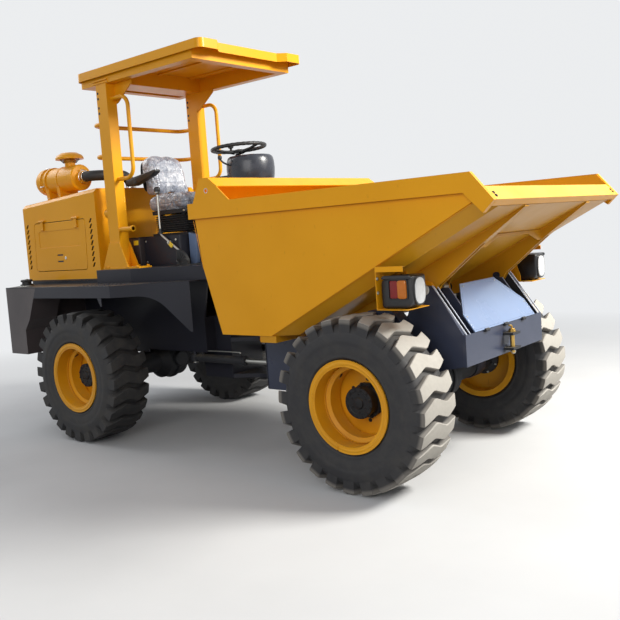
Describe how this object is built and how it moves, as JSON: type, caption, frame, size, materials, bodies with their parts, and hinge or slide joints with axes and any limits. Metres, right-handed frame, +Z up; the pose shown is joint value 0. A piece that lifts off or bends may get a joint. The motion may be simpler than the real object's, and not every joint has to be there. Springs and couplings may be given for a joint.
{
  "type": "site dumper",
  "caption": "Articulated front-tipping site dumper with lugged tyres, two-post canopy, engine hood and a hinged skip.",
  "frame": {"origin": "on the ground below the middle of the machine's box", "axes": "+X forward, +Y to the machine's left, +Z up"},
  "size_m": [4.45, 1.862, 2.752],
  "materials": {
    "yellow_paint": "semi-gloss paint",
    "dark_paint": "semi-gloss paint",
    "grey_paint": "gloss paint",
    "tyre_rubber": "matt, dusty",
    "rim_paint": "semi-gloss paint, black hub",
    "black_plastic": "grained",
    "black_rubber": "matt",
    "seat_cover": "cloth under clear wrap",
    "zinc_steel": "plated",
    "brass_plate": "yellow zinc",
    "lamp_unit": "black housing with clear and amber lenses",
    "cast_dark": "painted casting"
  },
  "bodies": {
    "rear_chassis": {"rear_frame": "dark_paint", "rear_fenders": "dark_paint", "counterweight": "dark_paint", "rear_lamps": "lamp_unit", "filler_cap": "black_plastic", "engine_block": "cast_dark", "gearbox": "cast_dark", "rear_axle": "cast_dark", "hood": "yellow_paint", "rear_grille": "yellow_paint", "air_cleaner": "yellow_paint", "intake_hose": "black_rubber", "cab_floor": "dark_paint", "rops_posts": "yellow_paint", "canopy_frame": "yellow_paint", "canopy": "yellow_paint", "guard_rails": "yellow_paint", "grab_handles": "yellow_paint", "seat_pedestal": "dark_paint", "seat_suspension": "cast_dark", "seat_cushion": "seat_cover", "seat_back": "seat_cover", "armrest": "black_plastic", "steering_console": "black_plastic", "steering_column": "zinc_steel", "hand_lever": "zinc_steel", "pedals": "cast_dark", "articulation_pin": "zinc_steel"},
    "front_chassis": {"front_frame": "dark_paint", "front_cover": "grey_paint", "tow_hitch": "cast_dark", "tow_pin": "brass_plate", "front_axle": "cast_dark", "driveshaft": "cast_dark"},
    "skip": {"skip_tub": "yellow_paint", "skip_lip": "yellow_paint", "skip_side_right": "yellow_paint", "skip_side_left": "yellow_paint", "skip_rim": "yellow_paint", "skip_ribs": "yellow_paint", "lamp_brackets": "yellow_paint", "headlamps": "lamp_unit"},
    "hood_door_right": {"hood_door_right": "yellow_paint"},
    "hood_door_left": {"hood_door_left": "yellow_paint"},
    "steering_wheel": {"steering_wheel": "black_plastic"},
    "tip_barrel": {"tip_barrel": "cast_dark"},
    "tip_rod": {"tip_rod": "zinc_steel"},
    "steer_barrel_right": {"steer_barrel_right": "cast_dark"},
    "steer_rod_right": {"steer_rod_right": "zinc_steel"},
    "steer_barrel_left": {"steer_barrel_left": "cast_dark"},
    "steer_rod_left": {"steer_rod_left": "zinc_steel"},
    "wheel_front_right": {"tyre_front_right": "tyre_rubber", "rim_front_right": "rim_paint"},
    "wheel_front_left": {"tyre_front_left": "tyre_rubber", "rim_front_left": "rim_paint"},
    "wheel_rear_right": {"tyre_rear_right": "tyre_rubber", "rim_rear_right": "rim_paint"},
    "wheel_rear_left": {"tyre_rear_left": "tyre_rubber", "rim_rear_left": "rim_paint"}
  },
  "joints": [
    {"name": "wheel_front_right_spin", "type": "hinge", "parent": "front_chassis", "child": "wheel_front_right", "pos_m": [1.352, -0.766, 0.48366], "axis": [0, 1, 0], "continuous": true},
    {"name": "wheel_front_left_spin", "type": "hinge", "parent": "front_chassis", "child": "wheel_front_left", "pos_m": [1.352, 0.766, 0.48366], "axis": [0, 1, 0], "continuous": true},
    {"name": "wheel_rear_right_spin", "type": "hinge", "parent": "rear_chassis", "child": "wheel_rear_right", "pos_m": [-1.122, -0.766, 0.48366], "axis": [0, 1, 0], "continuous": true},
    {"name": "wheel_rear_left_spin", "type": "hinge", "parent": "rear_chassis", "child": "wheel_rear_left", "pos_m": [-1.122, 0.766, 0.48366], "axis": [0, 1, 0], "continuous": true},
    {"name": "articulation", "type": "hinge", "parent": "rear_chassis", "child": "front_chassis", "pos_m": [0.115, 0, 0.55], "axis": [0, 0, 1], "range_deg": [-30, 30]},
    {"name": "skip_tip", "type": "hinge", "parent": "front_chassis", "child": "skip", "pos_m": [1.615, 0, 1.07], "axis": [0, 1, 0], "range_deg": [0, 60]},
    {"name": "steering_wheel_turn", "type": "hinge", "parent": "rear_chassis", "child": "steering_wheel", "pos_m": [-0.143, 0, 2.075], "axis": [-0.0523, 0, 0.9986], "continuous": true},
    {"name": "hood_door_right_lift", "type": "hinge", "parent": "rear_chassis", "child": "hood_door_right", "pos_m": [-1.704, -0.539, 1.677], "axis": [-1, 0, 0], "range_deg": [0, 80]},
    {"name": "hood_door_left_lift", "type": "hinge", "parent": "rear_chassis", "child": "hood_door_left", "pos_m": [-1.704, 0.539, 1.677], "axis": [1, 0, 0], "range_deg": [0, 80]},
    {"name": "tip_barrel_swing", "type": "hinge", "parent": "front_chassis", "child": "tip_barrel", "pos_m": [1.055, 0, 0.575], "axis": [0, 1, 0], "range_deg": [-5.85, 1]},
    {"name": "tip_rod_slide", "type": "slide", "parent": "tip_barrel", "child": "tip_rod", "axis": [0.6467, 0, 0.7628], "range_m": [-0.002, 0.1658]},
    {"name": "steer_barrel_right_swing", "type": "hinge", "parent": "rear_chassis", "child": "steer_barrel_right", "pos_m": [-0.505, -0.262, 0.555], "axis": [0, 0, 1], "range_deg": [-6.6, 6.6]},
    {"name": "steer_rod_right_slide", "type": "slide", "parent": "steer_barrel_right", "child": "steer_rod_right", "axis": [0.9999, 0.0154, 0], "range_m": [-0.133, 0.133]},
    {"name": "steer_barrel_left_swing", "type": "hinge", "parent": "rear_chassis", "child": "steer_barrel_left", "pos_m": [-0.505, 0.262, 0.555], "axis": [0, 0, 1], "range_deg": [-6.6, 6.6]},
    {"name": "steer_rod_left_slide", "type": "slide", "parent": "steer_barrel_left", "child": "steer_rod_left", "axis": [0.9999, -0.0154, 0], "range_m": [-0.133, 0.133]}
  ],
  "couplings": [
    {"joint": "tip_barrel_swing", "follows": "skip_tip", "ratio": -0.080804},
    {"joint": "tip_rod_slide", "follows": "skip_tip", "m_per_rad": 0.15637},
    {"joint": "steer_barrel_right_swing", "follows": "articulation", "ratio": 0.18669},
    {"joint": "steer_rod_right_slide", "follows": "articulation", "m_per_rad": 0.2463},
    {"joint": "steer_barrel_left_swing", "follows": "articulation", "ratio": 0.18669},
    {"joint": "steer_rod_left_slide", "follows": "articulation", "m_per_rad": -0.2463}
  ]
}
